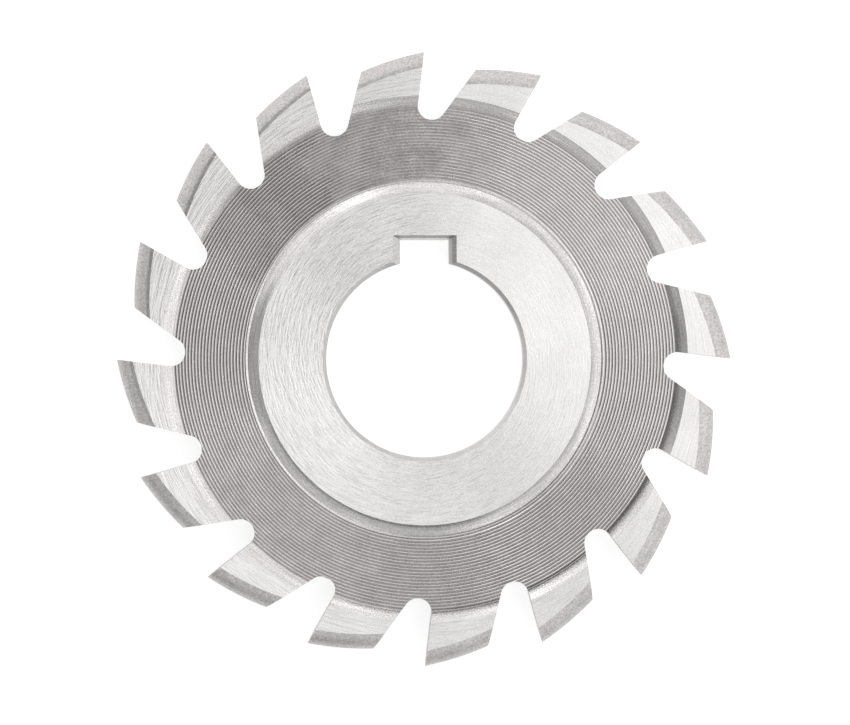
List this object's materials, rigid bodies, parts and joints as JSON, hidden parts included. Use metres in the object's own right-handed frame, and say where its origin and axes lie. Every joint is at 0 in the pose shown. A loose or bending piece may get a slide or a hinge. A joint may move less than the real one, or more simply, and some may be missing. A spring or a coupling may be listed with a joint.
{
  "type": "convex radius cutter",
  "caption": "Disc-shaped form milling cutter with relieved half-round teeth, raked faces, a recessed web and a keyed centre bore, for milling concave grooves.",
  "frame": {"origin": "on the bore's axis, in the plane of the lower side faces that the cutter lies on", "axes": "+Z along the bore's axis, +Y from the bore towards the keyway, +X to the right seen from above"},
  "size_m": [0.05, 0.05, 0.0025],
  "materials": {
    "tool_steel": "ground on the hub and tooth sides, turned on the web, matte on the relieved profile"
  },
  "bodies": {
    "root": {"convex_cutter": "tool_steel"}
  },
  "joints": []
}
